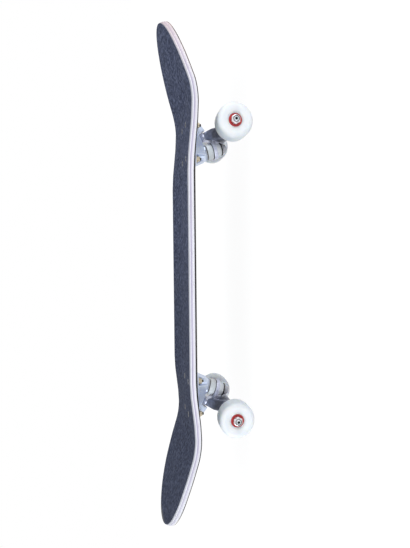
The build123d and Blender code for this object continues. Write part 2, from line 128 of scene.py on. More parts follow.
def add_floor():
    """Pale floor under the wheels, which shows white and keeps a part of the shadow."""
    size = 6.0
    data = bpy.data.meshes.new("floor")
    corners = [(-size, -size, 0), (size, -size, 0), (size, size, 0), (-size, size, 0)]
    data.from_pydata(corners, [], [(0, 1, 2, 3)])
    floor = bpy.data.objects.new("floor", data)
    bpy.context.scene.collection.objects.link(floor)
    material = bpy.data.materials.new("floor_white")
    material.use_nodes = True
    tree = material.node_tree
    diffuse = tree.nodes.new("ShaderNodeBsdfDiffuse")
    diffuse.inputs["Color"].default_value = (0.9, 0.9, 0.9, 1)
    glow = tree.nodes.new("ShaderNodeEmission")
    glow.inputs["Strength"].default_value = FLOOR_GLOW
    mix = tree.nodes.new("ShaderNodeMixShader")
    share = tree.nodes.new("ShaderNodeMath")
    share.operation = "MULTIPLY"
    share.inputs[1].default_value = 1 - SHADOW_SHARE
    tree.links.new(seen_directly(tree), share.inputs[0])
    tree.links.new(share.outputs[0], mix.inputs[0])
    tree.links.new(diffuse.outputs[0], mix.inputs[1])
    tree.links.new(glow.outputs[0], mix.inputs[2])
    tree.links.new(mix.outputs[0], tree.nodes["Material Output"].inputs["Surface"])
    data.materials.append(material)


def add_lamp(name, place, size, power, tint=(1, 1, 1)):
    """Square soft lamp that faces the middle of the board."""
    data = bpy.data.lights.new(name, "AREA")
    data.size = size
    data.energy = power
    data.color = tint
    lamp = bpy.data.objects.new(name, data)
    bpy.context.scene.collection.objects.link(lamp)
    lamp.location = place
    target = Vector((0, 0, cad_box[1][2] / 2))
    lamp.rotation_euler = (target - Vector(place)).to_track_quat("-Z", "Y").to_euler()


# ---------------------------------------------------------------- finishes
class Finish:
    """A Principled material, with the few kinds of node that the finishes share."""

    def __init__(self, name, colour, roughness, metallic=0.0):
        self.material = bpy.data.materials.new(name)
        self.material.use_nodes = True
        self.tree = self.material.node_tree
        self.shader = self.tree.nodes["Principled BSDF"]
        self.give("Base Color", (*colour, 1))
        self.give("Roughness", roughness)
        self.give("Metallic", metallic)
        self.place = self.tree.nodes.new("ShaderNodeTexCoord").outputs["Object"]

    def give(self, socket, value):
        self.feed(self.shader.inputs[socket], value)

    def feed(self, socket, value):
        if isinstance(value, bpy.types.NodeSocket):
            self.tree.links.new(value, socket)
        else:
            socket.default_value = value

    def stretched(self, x, y, z):
        """The piece's own place, squeezed along each axis."""
        mapping = self.tree.nodes.new("ShaderNodeMapping")
        self.feed(mapping.inputs["Vector"], self.place)
        self.feed(mapping.inputs["Scale"], (x, y, z))
        return mapping.outputs["Vector"]

    def along(self, axis):
        """Distance along one of the piece's own axes, in metres."""
        split = self.tree.nodes.new("ShaderNodeSeparateXYZ")
        self.feed(split.inputs["Vector"], self.place)
        return split.outputs[axis]

    def from_axis(self):
        """Distance from the piece's own Z axis, in metres."""
        length = self.tree.nodes.new("ShaderNodeVectorMath")
        length.operation = "LENGTH"
        self.feed(length.inputs[0], self.stretched(1, 1, 0))
        return length.outputs["Value"]

    def beyond(self, point, reach_mm, fade=1.25):
        """0 within a distance of a point, rising to 1 at fade times that distance."""
        gap = self.tree.nodes.new("ShaderNodeVectorMath")
        gap.operation = "DISTANCE"
        self.feed(gap.inputs[0], self.place)
        self.feed(gap.inputs[1], tuple(point))
        return self.remap(gap.outputs["Value"], reach_mm * MM, fade * reach_mm * MM)

    def upright(self):
        """1 on faces that stand upright, 0 on those that lie flat."""
        normal = self.tree.nodes.new("ShaderNodeNewGeometry").outputs["Normal"]
        split = self.tree.nodes.new("ShaderNodeSeparateXYZ")
        self.feed(split.inputs["Vector"], normal)
        level = self.tree.nodes.new("ShaderNodeMath")
        level.operation = "ABSOLUTE"
        self.feed(level.inputs[0], split.outputs["Z"])
        return self.remap(level.outputs[0], 0.75, 0.6)

    def edges(self, low, high):
        """Rises to 1 on sharp edges, or with high under low in deep hollows; a flat face is at 0.5."""
        point = self.tree.nodes.new("ShaderNodeNewGeometry").outputs["Pointiness"]
        return self.remap(point, low, high)

    def noise(self, grain_mm, detail=3.0, place=None):
        """Cloudy pattern from 0 to 1 whose grains are about that many millimetres across."""
        noise = self.tree.nodes.new("ShaderNodeTexNoise")
        self.feed(noise.inputs["Vector"], place or self.place)
        self.feed(noise.inputs["Scale"], 1 / (grain_mm * MM))
        self.feed(noise.inputs["Detail"], detail)
        return noise.outputs["Fac"]

    def cells(self, grain_mm, output="Distance"):
        """Distance from the middle of each grain of a grit, or with Color a tone for each grain."""
        cells = self.tree.nodes.new("ShaderNodeTexVoronoi")
        self.feed(cells.inputs["Vector"], self.place)
        self.feed(cells.inputs["Scale"], 1 / (grain_mm * MM))
        return cells.outputs[output]

    def remap(self, value, low, high, to_low=0.0, to_high=1.0):
        span = self.tree.nodes.new("ShaderNodeMapRange")
        self.feed(span.inputs["Value"], value)
        self.feed(span.inputs["From Min"], low)
        self.feed(span.inputs["From Max"], high)
        self.feed(span.inputs["To Min"], to_low)
        self.feed(span.inputs["To Max"], to_high)
        return span.outputs["Result"]

    def times(self, first, second):
        product = self.tree.nodes.new("ShaderNodeMath")
        product.operation = "MULTIPLY"
        self.feed(product.inputs[0], first)
        self.feed(product.inputs[1], second)
        return product.outputs[0]

    def mix(self, share, first, second):
        """From the first colour to the second as share goes from 0 to 1."""
        mix = self.tree.nodes.new("ShaderNodeMix")
        mix.data_type = "RGBA"
        self.feed(mix.inputs["Factor"], share)
        for socket, colour in (("A", first), ("B", second)):
            target = [s for s in mix.inputs if s.name == socket and s.type == "RGBA"][0]
            self.feed(target, colour if isinstance(colour, bpy.types.NodeSocket) else (*colour, 1))
        return [s for s in mix.outputs if s.type == "RGBA"][0]

    def bump(self, height, depth_mm, strength=1.0):
        bump = self.tree.nodes.new("ShaderNodeBump")
        self.feed(bump.inputs["Height"], height)
        self.feed(bump.inputs["Distance"], depth_mm * MM)
        self.feed(bump.inputs["Strength"], strength)
        self.give("Normal", bump.outputs["Normal"])


# where the finishes change along the board, in metres from its middle
TAIL_TIP, NOSE_TIP = cad_box[0][0], cad_box[1][0]
TAIL_SCRAPED = (-0.28, TAIL_TIP)
TAIL_WORN = (-0.24, -0.38)
NOSE_WORN = (0.26, 0.38)
NOSE_DUSTY = (0.25, 0.36)
NOSE_CREAM = (NOSE_TIP - 0.016, NOSE_TIP)
NOSE_BARE = (NOSE_TIP - 0.011, NOSE_TIP - 0.002)
NOSE_HALF = (-0.10, 0.10)

# colours that finishes share: a painted shadow, a grimy dark with painted shade for hollows, and a pale
# worn edge with a painted highlight
PAINTED_SHADOW = (0.035, 0.030, 0.032)
HOLLOW_GRIME_AND_SHADE = (0.040, 0.036, 0.040)
WORN_EDGE_AND_HIGHLIGHT = (0.92, 0.93, 0.98)


def wood_grain(wood, pale, deep):
    """Fibres, growth bands and pores along the board; returns the colour and the pores."""
    fibre = wood.noise(1.6, 4.0, wood.stretched(0.03, 1, 1))
    bands = wood.noise(14, 2.0, wood.stretched(0.06, 1, 1))
    pores = wood.noise(0.7, 1.0, wood.stretched(0.05, 1, 1))
    stained = wood.mix(wood.remap(fibre, 0.35, 0.7), pale, deep)
    banded = wood.mix(wood.remap(bands, 0.4, 0.75, 0, 0.5), stained, deep)
    dark = tuple(0.55 * c for c in deep)
    return wood.mix(wood.remap(pores, 0.66, 0.74, 0, 0.5), banded, dark), pores


def veneer(name, pale, deep, roughness=0.5):
    """Maple ply under a thin sealer: scraped brownish towards the tail, dusty and cream at the nose."""
    wood = Finish(name, pale, roughness)
    colour, pores = wood_grain(wood, pale, deep)
    along = wood.along("X")
    scraped = wood.mix(wood.remap(along, *TAIL_SCRAPED, 0, 0.75), colour, (0.58, 0.42, 0.42))
    dusty = wood.mix(wood.remap(along, *NOSE_DUSTY, 0, 0.4), scraped, (0.52, 0.52, 0.54))
    cream = wood.mix(wood.remap(along, *NOSE_CREAM, 0, 0.8), dusty, (0.62, 0.58, 0.46))
    wood.give("Base Color", cream)
    wood.bump(pores, 0.05, 0.4)
    return wood.material


def stained_underside():
    """Bottom ply: near black along the middle, worn to brown and tan towards the two tips."""
    pale, deep = (0.020, 0.017, 0.016), (0.010, 0.008, 0.008)
    wood = Finish("veneer_dark", pale, 0.55)
    wood.give("Specular IOR Level", 0.1)
    colour, pores = wood_grain(wood, pale, deep)
    along = wood.along("X")
    scuffs = wood.noise(22, 5.0, wood.stretched(0.6, 1, 1))
    tail = wood.times(wood.remap(along, *TAIL_WORN), wood.remap(scuffs, 0.3, 0.6))
    nose = wood.times(wood.remap(along, *NOSE_WORN), wood.remap(scuffs, 0.3, 0.6))
    worn = wood.mix(tail, colour, (0.36, 0.24, 0.20))
    wood.give("Base Color", wood.mix(nose, worn, (0.50, 0.44, 0.36)))
    wood.bump(pores, 0.05, 0.4)
    return wood.material


def grip_tape():
    """Blue-black abrasive: packed grains, pale scuffs, a nose half darker with painted shade, a worn
    tip, a filed rim.
    """
    tape = Finish("grip", (0.050, 0.062, 0.105), 0.9)
    grit = tape.cells(0.9)
    grains = tape.cells(1.2, "Color")
    clumps = tape.noise(4.5, 4.0)
    patches = tape.noise(12, 3.0)
    scuffs = tape.noise(60, 4.0, tape.stretched(0.5, 1, 1))
    mottled = tape.mix(tape.remap(clumps, 0.41, 0.62), (0.012, 0.018, 0.044), (0.116, 0.134, 0.214))
    cloud = tape.mix(tape.remap(patches, 0.42, 0.66, 0, 0.55), mottled, (0.028, 0.036, 0.076))
    speckled = tape.mix(tape.remap(grains, 0.55, 1.0, 0, 0.35), cloud, (0.16, 0.18, 0.24))
    scuffed = tape.mix(tape.remap(scuffs, 0.5, 0.8, 0, 0.25), speckled, (0.13, 0.135, 0.16))
    along = tape.along("X")
    # painted shade: darker over the nose half
    painted_shade = tape.mix(tape.remap(along, *NOSE_HALF, 0, 0.38), scuffed, (0.020, 0.024, 0.038))
    worn = tape.mix(tape.remap(along, *NOSE_BARE, 0, 0.9), painted_shade, (0.26, 0.25, 0.22))
    tape.give("Base Color", tape.mix(tape.upright(), worn, (0.34, 0.34, 0.37)))
    tape.give("Specular IOR Level", 0.15)
    tape.bump(grit, 0.3, 0.9)
    return tape.material


def cast_metal(name, bright, dull, grime_and_shade, grime_and_shade_share, painted_shade=None, painted_lit_spots=(), painted_shadow_spots=()):
    """Tumbled raw aluminium: satin, pitted, bright on its edges with wear and a painted highlight, and
    black in its hollows with a grimy film and painted shade.

    A grimy film with painted shade is thickest round the point given for the painted shade, and gives
    way to painted light round the lit spots; painted shadow darkens round the shadow spots. Lit and
    shadow spots are pairs of a point and a reach in millimetres.
    """
    metal = Finish(name, bright, 0.38, 0.8)
    skin = metal.noise(0.9, 4.0)
    cloud = metal.noise(9, 4.0)
    smears = metal.noise(5, 5.0)
    flecks = metal.noise(2.5, 2.0)
    tone = metal.mix(metal.remap(cloud, 0.3, 0.7), bright, dull)
    shiny = tuple(min(1.0, 1.25 * c) for c in bright)
    tone = metal.mix(metal.remap(flecks, 0.52, 0.68, 0, 0.6), tone, shiny)
    darkening = metal.remap(smears, 0.25, 0.65, 0.55 * grime_and_shade_share, grime_and_shade_share)
    # painted shade: the grimy film is thickest round the given point, darkening the hanger's web
    if painted_shade:
        away = metal.beyond(painted_shade, PAINTED_SHADE_REACH, 1.6)
        darkening = metal.times(darkening, metal.remap(away, 0, 1, 1, 0.25))
    # painted light: the grimy film thins round each lit spot
    for point, reach in painted_lit_spots:
        darkening = metal.times(darkening, metal.beyond(point, reach))
    grimy_and_shaded = metal.mix(darkening, tone, grime_and_shade)
    # painted shadow: near black round each shadow spot
    for point, reach in painted_shadow_spots:
        grimy_and_shaded = metal.mix(metal.beyond(point, reach, 1.12), PAINTED_SHADOW, grimy_and_shaded)
    # hollows darkened by a grimy film and painted shade
    grimy_and_shaded = metal.mix(metal.edges(0.485, 0.44), grimy_and_shaded, HOLLOW_GRIME_AND_SHADE)
    # edges lightened by wear and a painted highlight
    metal.give("Base Color", metal.mix(metal.edges(0.515, 0.56), grimy_and_shaded, WORN_EDGE_AND_HIGHLIGHT))
    metal.give("Roughness", metal.remap(smears, 0.3, 0.7, 0.32, 0.52))
    metal.bump(skin, 0.10, 0.5)
    return metal.material


def plated_steel(name, colour, roughness, hole=0.0):
    """Zinc-plated or ground steel with small stains; grease and painted shade blacken a hole on its
    axis.
    """
    metal = Finish(name, colour, roughness, 1.0)
    fine = metal.noise(0.35, 2.0)
    stain = metal.noise(3, 4.0)
    worn = tuple(0.55 * c for c in colour)
    tone = metal.mix(metal.remap(stain, 0.45, 0.8, 0, 0.6), colour, worn)
    # grease and painted shade: the drilled centre painted near black
    if hole:
        outside = metal.remap(metal.from_axis(), hole * MM, (hole + 0.1) * MM)
        tone = metal.mix(outside, (0.01, 0.01, 0.01), tone)
    metal.give("Base Color", tone)
    metal.give("Roughness", metal.remap(stain, 0.3, 0.7, roughness - 0.06, roughness + 0.14))
    metal.bump(fine, 0.02, 0.4)
    return metal.material


def black_oxide():
    """Blackened bolts whose edges have worn bright."""
    metal = Finish("black_steel", (0.045, 0.045, 0.050), 0.4, 0.6)
    stain = metal.noise(1.5, 4.0)
    worn = metal.mix(metal.remap(stain, 0.5, 0.7, 0, 0.5), (0.040, 0.040, 0.045), (0.16, 0.16, 0.17))
    metal.give("Base Color", metal.mix(metal.edges(0.55, 0.66), worn, (0.4, 0.4, 0.4)))
    metal.bump(stain, 0.02, 0.3)
    return metal.material


def urethane(name, colour, shade, depth=0.0, tread_radius=None):
    """Waxy cast urethane, translucent where it has a depth; a wheel's tread is grimy, with a cool tint
    as painted shade.
    """
    plastic = Finish(name, colour, 0.38)
    cloud = plastic.noise(16, 3.0)
    specks = plastic.noise(1.1, 3.0)
    tone = plastic.mix(plastic.remap(cloud, 0.35, 0.7), colour, shade)
    marked = plastic.mix(plastic.remap(specks, 0.68, 0.78, 0, 0.2), tone, (0.55, 0.54, 0.52))
    if tread_radius:
        rolled = plastic.noise(2.5, 5.0, plastic.stretched(1, 1, 0.35))
        outer = plastic.remap(plastic.from_axis(), (tread_radius - TREAD_CROWN) * MM, tread_radius * MM)
        # painted shade: a cool tint over the tread and shoulder
        cool = plastic.mix(plastic.times(outer, 0.7), marked, (0.86, 0.93, 1.0))
        darkening = plastic.times(outer, plastic.remap(rolled, 0.42, 0.66, 0, 0.05))
        marked = plastic.mix(darkening, cool, (0.62, 0.66, 0.76))
    plastic.give("Base Color", marked)
    plastic.give("Subsurface Weight", depth)
    plastic.give("Subsurface Radius", (0.007, 0.008, 0.010))
    plastic.give("Subsurface Scale", 1.0)
    plastic.give("Roughness", plastic.remap(cloud, 0.3, 0.7, 0.30, 0.48))
    plastic.bump(specks, 0.03, 0.25)
    return plastic.material


def moulded(name, colour, roughness, coat=0.0):
    """Moulded rubber or nylon with a fine matt grain."""
    plastic = Finish(name, colour, roughness)
    grain = plastic.noise(0.5, 2.0)
    cloud = plastic.noise(4, 3.0)
    deep = tuple(0.7 * c for c in colour)
    plastic.give("Base Color", plastic.mix(plastic.remap(cloud, 0.4, 0.75), colour, deep))
    plastic.give("Coat Weight", coat)
    plastic.bump(grain, 0.04, 0.4)
    return plastic.material


def middle(node):
    low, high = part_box(node)
    return (low + high) / 2


# reaches of the painted light and shade spots on the castings, in millimetres
PAINTED_SHADE_REACH = 24.0  # painted shade: a grimy film thickest round the axle's middle, over the hanger's web
# painted light on the hanger's ring, pivot and neck
RING_PAINTED_LIGHT = 15.5
PIVOT_PAINTED_LIGHT = 13.5
NECK_PAINTED_LIGHT = 6.0
SEAT_SHADOW_REACH = 12.5  # painted shadow round the washer on the baseplate
RING_SHADOW_REACH = 13.0  # painted shadow round the bushing on the hanger's ring


def hanger_metal(end):
    """Grimy casting darkened by painted shade round the axle, with painted light on its ring, pivot and
    neck, and painted shadow where a bushing seats.
    """
    above = middle(f"{end}_boardside_washer")
    ring = (above + middle(f"{end}_roadside_washer")) / 2
    pivot = middle(f"{end}_pivot_cup")
    painted_lit_spots = ((ring, RING_PAINTED_LIGHT), (pivot, PIVOT_PAINTED_LIGHT), (pivot.lerp(ring, 0.5), NECK_PAINTED_LIGHT))
    # the dark colour at a high share is a grimy film and painted shade over the web
    bright, dull, grime_and_shade = (0.66, 0.69, 0.84), (0.50, 0.53, 0.66), (0.055, 0.058, 0.085)
    # painted shadow between the hanger's ring and its bushing
    seat = ring.lerp(above, 0.28)
    painted_shade = middle(f"{end}_axle")
    return cast_metal(f"hanger_{end}", bright, dull, grime_and_shade, 0.88, painted_shade, painted_lit_spots, [(seat, RING_SHADOW_REACH)])


wheel_low, wheel_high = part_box("front_left_wheel")
WHEEL_RADIUS = (wheel_high.z - wheel_low.z) / 2 / MM
TREAD_CROWN = 1.2  # how far the tread's grimy film and painted cool shade reach in over the rounded shoulder
CENTRE_HOLE = 2.0  # radius of the drilled hole in an axle's end
FINISHES = {
    "veneer_dark": stained_underside(),
    "veneer_natural": veneer("veneer_natural", (0.89, 0.87, 0.92), (0.82, 0.79, 0.82)),
    "veneer_lavender": veneer("veneer_lavender", (0.55, 0.51, 0.65), (0.45, 0.41, 0.53)),
    "veneer_pale": veneer("veneer_pale", (0.72, 0.67, 0.78), (0.60, 0.55, 0.66)),
    "veneer_filed": veneer("veneer_filed", (0.62, 0.62, 0.66), (0.50, 0.50, 0.54)),
    "grip": grip_tape(),
    "cast_aluminium": cast_metal(
        "cast_aluminium", (0.76, 0.86, 1.00), (0.64, 0.73, 0.96), (0.36, 0.40, 0.54), 0.35,
        # painted shadow round the washer where each baseplate holds its bushing
        painted_shadow_spots=[(middle(f"{end}_boardside_washer"), SEAT_SHADOW_REACH) for end in ENDS],
    ),
    "hanger_front": hanger_metal("front"),
    "hanger_rear": hanger_metal("rear"),
    "steel": plated_steel("steel", (0.76, 0.76, 0.79), 0.28),
    "kingpin_steel": plated_steel("kingpin_steel", (0.40, 0.41, 0.45), 0.32),
    # near black washers: painted shade for the dark gaps at the ends of each bushing
    "washer_steel_painted_shade": plated_steel("washer_steel_painted_shade", (0.085, 0.080, 0.080), 0.5),
    "axle_steel": plated_steel("axle_steel", (0.70, 0.72, 0.76), 0.3, CENTRE_HOLE),
    "fastener_nut": plated_steel("fastener_nut", (0.60, 0.53, 0.40), 0.36),
    "black_steel": black_oxide(),
    "urethane_bushing": urethane("urethane_bushing", (0.97, 0.99, 0.99), (0.90, 0.95, 0.96)),
    "urethane_wheel": urethane(
        "urethane_wheel", (0.92, 0.93, 0.93), (0.87, 0.90, 0.93), 0.6, WHEEL_RADIUS
    ),
    "bearing_steel": plated_steel("bearing_steel", (0.80, 0.80, 0.82), 0.18),
    "bearing_seal": moulded("bearing_seal", (0.50, 0.018, 0.020), 0.35, 0.3),
    "pivot_plastic": moulded("pivot_plastic", (0.60, 0.53, 0.36), 0.5),
    "nylon": moulded("nylon", (0.06, 0.07, 0.08), 0.4),
}
PLY_FINISH = {  # plies that differ from others in their slot
    "deck_ply_4": "veneer_pale",
    "deck_ply_7": "veneer_filed",  # its edge is filed down with the grip tape's
}


def dress_frame():
    """Each CAD node shows its slot's finish, with its curved faces shaded smooth."""
    slots = {part["node"]: part["material_slot"] for part in frame["record"]["subparts"]}
    for name, node in frame["nodes"].items():
        node.data.materials.clear()
        node.data.materials.append(FINISHES[PLY_FINISH.get(name, slots[name])])
        shade(node.data, 30)


def shade(data, angle):
    """Smooth shading, with sharp edges where faces meet at more than an angle in degrees."""
    data.polygons.foreach_set("use_smooth", [True] * len(data.polygons))
    data.set_sharp_from_angle(angle=math.radians(angle))


# ---------------------------------------------------------------- turned forms
ROWS_PER_PITCH = 6  # of a thread's mesh
BOTH_SIDES = [Matrix.Scale(side, 4, (0, 0, 1)) for side in (-1, 1)]  # mirrored ends of a Z axis


def around(radius, angle, along):
    """Point about the Z axis, from millimetres to metres."""
    return Vector((radius * math.cos(angle), radius * math.sin(angle), along)) * MM


class Form:
    """Points and faces of one piece, gathered from turned and threaded forms."""

    def __init__(self):
        self.points = []
        self.faces = []

    def skin(self, rings, closed):
        """Quads between rings that hold as many points each."""
        first = len(self.points)
        count = len(rings[0])
        for ring in rings:
            self.points.extend(ring)
        for row in range(len(rings) if closed else len(rings) - 1):
            here = first + row * count
            there = first + (row + 1) % len(rings) * count
            for step in range(count):
                after = (step + 1) % count
                self.faces.append((here + step, here + after, there + after, there + step))

    def turned(self, profile, place=Matrix(), steps=60, closed=True):
        """Turn points (along, radius) about the Z axis of a place.

        A third number keeps that ring inside a hexagon of that width across its flats.
        """
        rings = []
        for along, radius, *flats in profile:
            ring = []
            for step in range(steps):
                angle = 2 * math.pi * step / steps
                reach = radius
                if flats:
                    from_flat = (angle + math.pi / 6) % (math.pi / 3) - math.pi / 6
                    reach = min(radius, flats[0] / 2 / math.cos(from_flat))
                ring.append(place @ around(reach, angle, along))
            rings.append(ring)
        self.skin(rings, closed)

    def threaded(self, low, high, radius, pitch, place=Matrix(), steps=36):
        """A thread whose ridge climbs by one pitch each turn, with a flat, bevelled far end."""
        rows = math.ceil((high - low) / pitch * ROWS_PER_PITCH)
        rings = []
        for row in range(rows + 1):
            along = low + (high - low) * row / rows
            bevel = max(0.0, 0.5 * pitch - (high - along))
            ring = []
            for step in range(steps):
                turn = step / steps
                groove = abs((along / pitch - turn) % 1 * 2 - 1)
                reach = radius - 0.5 * pitch * groove - bevel
                ring.append(place @ around(reach, 2 * math.pi * turn, along))
            rings.append(ring)
        rings.append([place @ Vector((0, 0, high * MM))] * steps)
        self.skin(rings, False)

    def piece(self, name, finish, body, replaced=(), place=Matrix(), sharp=35):
        """Make the object, put it in place and let it ride on its body."""
        data = bpy.data.meshes.new(name)
        data.from_pydata(self.points, [], self.faces)
        mesh = bmesh.new()
        mesh.from_mesh(data)
        bmesh.ops.remove_doubles(mesh, verts=mesh.verts, dist=MM / 1000)
        bmesh.ops.recalc_face_normals(mesh, faces=mesh.faces)
        mesh.to_mesh(data)
        mesh.free()
        return show(data, name, finish, body, replaced, place, sharp)


def show(data, name, finish, body, replaced, place, sharp):
    """Link a mesh as a piece with its finish and body, and hide the nodes that it replaces."""
    data.materials.clear()
    data.materials.append(FINISHES[finish])
    shade(data, sharp)
    piece = bpy.data.objects.new(name, data)
    bpy.context.scene.collection.objects.link(piece)
    piece.matrix_world = place
    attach(piece, body)
    if replaced:
        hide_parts(*replaced)
    return piece


def rounded(corners, steps=4):
    """Closed profile through (along, radius, rounding) corners, each rounded by its third number."""
    profile = []
    count = len(corners)
    for index, (along, radius, size) in enumerate(corners):
        here = Vector((along, radius))
        before = Vector(corners[index - 1][:2])
        after = Vector(corners[(index + 1) % count][:2])
        if size == 0:
            profile.append(tuple(here))
            continue
        start = here + (before - here).normalized() * size
        end = here + (after - here).normalized() * size
        for step in range(steps + 1):
            share = step / steps
            first = start.lerp(here, share)
            profile.append(tuple(first.lerp(here.lerp(end, share), share)))
    return profile


def axis_place(origin, direction, upright=Vector((0, 0, 1))):
    """Place at an origin whose Z axis points along a direction, with Y as near as can be to upright."""
    along = direction.normalized()
    side = upright.cross(along).normalized()
    return Matrix.Translation(origin) @ Matrix((side, along.cross(side), along)).transposed().to_4x4()


def extent(node, place):
    """A node's lowest and highest point along a place's Z axis, and its largest radius about it."""
    back = place.inverted()
    points = [back @ vertex.co / MM for vertex in frame["nodes"][node].data.vertices]
    heights = [point.z for point in points]
    return min(heights), max(heights), max(math.hypot(point.x, point.y) for point in points)


# ---------------------------------------------------------------- wheels and bearings
TREAD_HALF = 9.0
SHOULDER_RADIUS = 20.0
SHOULDER_STEPS = 12
DISH_RADIUS = 16.4  # middle of the hollow side face
LIP_RADIUS = 13.2
LIP_INSET = 1.6
CORE_RADIUS = 11.02  # seat of the bearings
CORE_BORE = 9.0  # between the bearings
CORE_DEPTH = 4.0  # outer face of the bearing under the wheel's side face
MOULD_LINE = 0.05  # height of the seam round the middle of the tread
BEARING_WIDTH = 7.0
BEARING_GAP = 10.0  # between the two bearings of a wheel
BORE_RADIUS = 4.0
INNER_RACE_RADIUS = 6.2
OUTER_RACE_WALL = 1.8
SHIELD_SEAT = 0.8  # depth of the groove that holds the shield
SHIELD_PLAY = 0.05


def wheel_profile(half_width, radius):
    """Half a wheel's section, from its core out over the side face to the middle of the tread."""
    bearing_face = half_width - CORE_DEPTH
    tread = radius - MOULD_LINE
    inner = [
        (0, CORE_BORE),
        (bearing_face - BEARING_WIDTH, CORE_BORE),
        (bearing_face - BEARING_WIDTH, CORE_RADIUS),
        (bearing_face + 0.7, CORE_RADIUS),
        (bearing_face + 1.0, CORE_RADIUS + 0.3),
        (half_width - LIP_INSET - 0.5, LIP_RADIUS - 0.9),
        (half_width - LIP_INSET - 0.1, LIP_RADIUS - 0.3),
        (half_width - LIP_INSET, LIP_RADIUS + 0.4),
        (half_width - 0.75, DISH_RADIUS),
        (half_width - 0.12, SHOULDER_RADIUS - 0.9),
        (half_width, SHOULDER_RADIUS),
    ]
    shoulder = []
    for step in range(1, SHOULDER_STEPS + 1):
        angle = math.pi / 2 * step / SHOULDER_STEPS
        along = TREAD_HALF + (half_width - TREAD_HALF) * math.cos(angle)
        shoulder.append((along, SHOULDER_RADIUS + (tread - SHOULDER_RADIUS) * math.sin(angle)))
    seam = [(5.0, tread), (0.9, tread), (0.5, tread), (0.25, radius), (0, radius)]
    return inner + shoulder + seam


def race_profile(face, radius, shield_radius):
    """Outer race, with a groove under its outer face for the shield."""
    bore = radius - OUTER_RACE_WALL
    return rounded([
        (face, radius, 0.4),
        (face, shield_radius + SHIELD_PLAY, 0.15),
        (face - SHIELD_SEAT, shield_radius + SHIELD_PLAY, 0),
        (face - SHIELD_SEAT, bore, 0),
        (face - BEARING_WIDTH, bore, 0),
        (face - BEARING_WIDTH, radius, 0.4),
    ])


def shield_profile(face, radius):
    """Ridged rubber shield, from its bead in the outer race's groove to its lip at the inner race."""
    return rounded([
        (face - 0.75, radius, 0),
        (face - 0.15, radius, 0.15),
        (face - 0.15, radius - 0.6, 0.1),
        (face - 0.4, radius - 0.8, 0.1),
        (face - 0.15, radius - 1.2, 0.15),
        (face - 0.25, INNER_RACE_RADIUS + 1.1, 0.15),
        (face - 0.5, INNER_RACE_RADIUS + 0.8, 0.1),
        (face - 0.45, INNER_RACE_RADIUS + 0.15, 0.1),
        (face - 0.75, INNER_RACE_RADIUS + 0.15, 0),
    ])


def add_wheel(end, hand):
    """The urethane, both bearings' outer races and their shields, about the wheel's own centre."""
    body = f"{end}_{hand}_wheel"
    place = axis_place(middle(body), Vector((0, 1, 0)))
    low, high, radius = extent(body, place)
    half = wheel_profile((high - low) / 2, radius)
    mirrored = [(-along, reach) for along, reach in reversed(half)]
    tyre = Form()
    tyre.turned(mirrored[:-1] + half, steps=120)
    tyre.piece(body + "_tyre", "urethane_wheel", body, (body,), place, 40)

    outer_races = f"{end}_{hand}_bearing_outer_races"
    seals = f"{end}_{hand}_bearing_seals"
    race_radius = extent(outer_races, place)[2]
    shield_radius = extent(seals, place)[2]
    face = (high - low) / 2 - CORE_DEPTH
    races, shields = Form(), Form()
    for side in BOTH_SIDES:
        races.turned(race_profile(face, race_radius, shield_radius), side, 72)
        shields.turned(shield_profile(face, shield_radius), side, 72)
    races.piece(body + "_races", "bearing_steel", body, (outer_races,), place)
    shields.piece(body + "_shields", "bearing_seal", body, (seals,), place, 50)


# ---------------------------------------------------------------- locking nuts
HEXAGON_SHARE = 0.62  # of a nut's height; the rest is its collar
SHOULDER_SHARE = 0.47  # radius where the bevel meets the nut's face, of the width across its flats
COLLAR_SHARE = 0.44
RING_DEPTH = 1.2  # how deep the nylon ring lies in its collar
THREAD_PLAY = 0.3
HEXAGON_TURN = Matrix.Rotation(math.pi / 6, 4, "Z")  # corners, not flats, along the X axis


def lock_nut(steel, nylon, place, low, high, flats, bore):
    """Hexagon with bevelled corners under a round collar that grips a nylon ring."""
    hexagon = low + HEXAGON_SHARE * (high - low)
    corner = flats / math.sqrt(3)
    shoulder = SHOULDER_SHARE * flats
    bevel = corner - shoulder
    collar = COLLAR_SHARE * flats
    ring = (collar + bore) / 2 + 0.1
    steel.turned([
        (low, bore + THREAD_PLAY),
        (low, shoulder, flats),
        (low + 0.3 * bevel, shoulder + 0.5 * bevel, flats),
        (low + 0.6 * bevel, corner, flats),
        (hexagon - 0.6 * bevel, corner, flats),
        (hexagon - 0.3 * bevel, shoulder + 0.5 * bevel, flats),
        (hexagon, shoulder, flats),
        (hexagon + 0.1, collar),
        (high - 0.8, collar),
        (high - 0.25, collar - 0.15),
        (high, collar - 0.55),
        (high - 0.1, ring + 0.02),
        (high - RING_DEPTH, ring + 0.02),
        (high - RING_DEPTH, bore + THREAD_PLAY),
    ], place)
    nylon.turned([
        (high - RING_DEPTH, ring),
        (high - 0.45, ring),
        (high - 0.3, (ring + bore) / 2),
        (high - 0.45, bore - 0.1),
        (high - RING_DEPTH, bore - 0.1),
    ], place)


# ---------------------------------------------------------------- axle, races and nuts
AXLE_NUT_HEIGHT = 7.0
AXLE_THREAD = 4.0  # how far the thread runs on under the nut
THREAD_DEPTH = 0.3
HOLE_DEPTH = 3.5  # of the drilled centre, up to its cone


